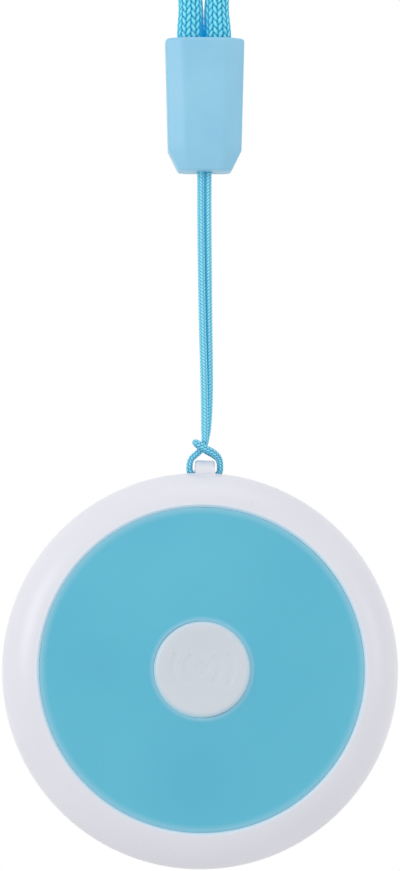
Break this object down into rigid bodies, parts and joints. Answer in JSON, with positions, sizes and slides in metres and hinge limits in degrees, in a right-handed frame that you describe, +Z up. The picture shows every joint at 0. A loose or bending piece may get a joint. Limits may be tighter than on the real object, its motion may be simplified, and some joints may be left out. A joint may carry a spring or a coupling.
{
  "type": "gps tracker",
  "caption": "Round wearable call pendant with a tracker inside: white case, blue front plate and press button, hung from a doubled strap, a moulded sleeve and a braided neck cord.",
  "frame": {"origin": "inside of the top of the neck loop, where it would lie on a neck or a hook", "axes": "+Z up along the hanging cord, +X to the right as seen from the front, call button facing -Y"},
  "size_m": [0.06, 0.0157, 0.1758],
  "materials": {
    "cord_blue": "matte",
    "strap_blue": "matte",
    "sleeve_blue": "satin",
    "crimp_steel": "satin",
    "case_white": "satin",
    "seal_silicone": "matte",
    "plate_blue": "satin",
    "film": "matte",
    "button_pale": "satin",
    "switch_black": "matte",
    "board_green": "satin",
    "aerial_ceramic": "matte",
    "can_metal": "satin",
    "card_white": "satin",
    "foam_grey": "matte",
    "battery_foil": "satin",
    "lead_red": "satin",
    "mesh_black": "matte",
    "speaker_steel": "satin",
    "motor_steel": "satin",
    "contact_gilt": "polished",
    "aerial_strip": "satin",
    "screw_steel": "satin"
  },
  "bodies": {
    "lanyard": {"neck_cord": "cord_blue", "cord_sleeve": "sleeve_blue", "cord_crimp": "crimp_steel", "strap_loop": "strap_blue"},
    "tracker": {"front_housing": "case_white", "back_cover": "case_white", "edge_gasket": "seal_silicone", "front_plate": "plate_blue", "plate_film": "film", "switch_body": "switch_black", "main_board": "board_green", "gps_antenna": "aerial_ceramic", "cellular_module": "can_metal", "gps_receiver": "can_metal", "microphone": "can_metal", "sim_socket": "can_metal", "sim_card": "card_white", "battery_pad": "foam_grey", "battery": "battery_foil", "battery_socket": "switch_black", "battery_leads": "lead_red", "speaker_mesh": "mesh_black", "speaker": "speaker_steel", "vibration_motor": "motor_steel", "charge_contacts": "contact_gilt", "contact_pins": "contact_gilt", "cellular_antenna": "aerial_strip", "case_screws": "screw_steel"},
    "call_button": {"button_cap": "button_pale", "button_seal": "seal_silicone", "switch_plunger": "switch_black"}
  },
  "joints": [
    {"name": "tracker_swing", "type": "hinge", "parent": "lanyard", "child": "tracker", "pos_m": [0, 0, -0.1127], "axis": [0.9997, 0, -0.0237], "range_deg": [-8, 50]},
    {"name": "button_press", "type": "slide", "parent": "tracker", "child": "call_button", "axis": [0, 1, 0], "range_m": [0, 0.0004], "stiffness_N_per_m": 5000}
  ]
}
